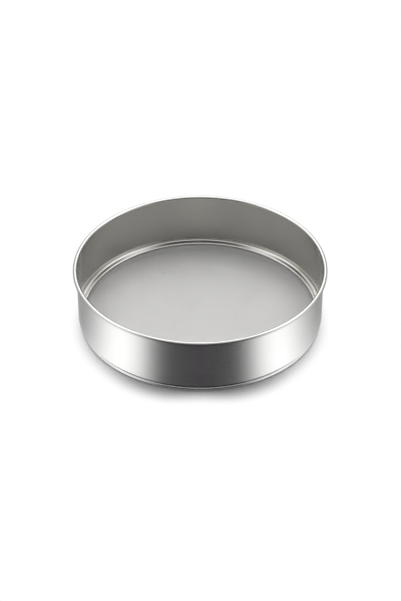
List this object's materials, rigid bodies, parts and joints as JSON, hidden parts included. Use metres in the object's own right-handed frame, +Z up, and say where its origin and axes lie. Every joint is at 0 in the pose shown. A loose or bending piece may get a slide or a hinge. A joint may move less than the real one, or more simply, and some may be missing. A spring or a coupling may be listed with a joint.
{
  "type": "tamis drum sieve",
  "caption": "Round steel drum sieve with a curled rim and a fine woven wire cloth near its foot, for sifting flour and passing purees.",
  "frame": {"origin": "middle of the circle that the foot stands on, at the level of the bench", "axes": "+Z up along the drum's axis, towards the open rim; -X points at the wall's welded seam"},
  "size_m": [0.2, 0.2, 0.05],
  "materials": {
    "drum_steel": "bright rolled stainless strip, mirror-like outside and satin inside",
    "ring_steel": "bright stainless strip with a soft satin",
    "wire_steel": "drawn wire",
    "cloth_steel": "plain woven stainless wire cloth, grey and even",
    "weld_steel": "ground flush and polished over"
  },
  "bodies": {
    "root": {"drum_wall": "drum_steel", "wall_seam_weld": "weld_steel", "rim_wire": "wire_steel", "mesh_cloth": "cloth_steel", "clamp_ring": "ring_steel", "clamp_seam_weld": "weld_steel", "foot_ring": "ring_steel", "foot_seam_weld": "weld_steel", "foot_wire": "wire_steel", "spot_welds": "weld_steel"}
  },
  "joints": []
}
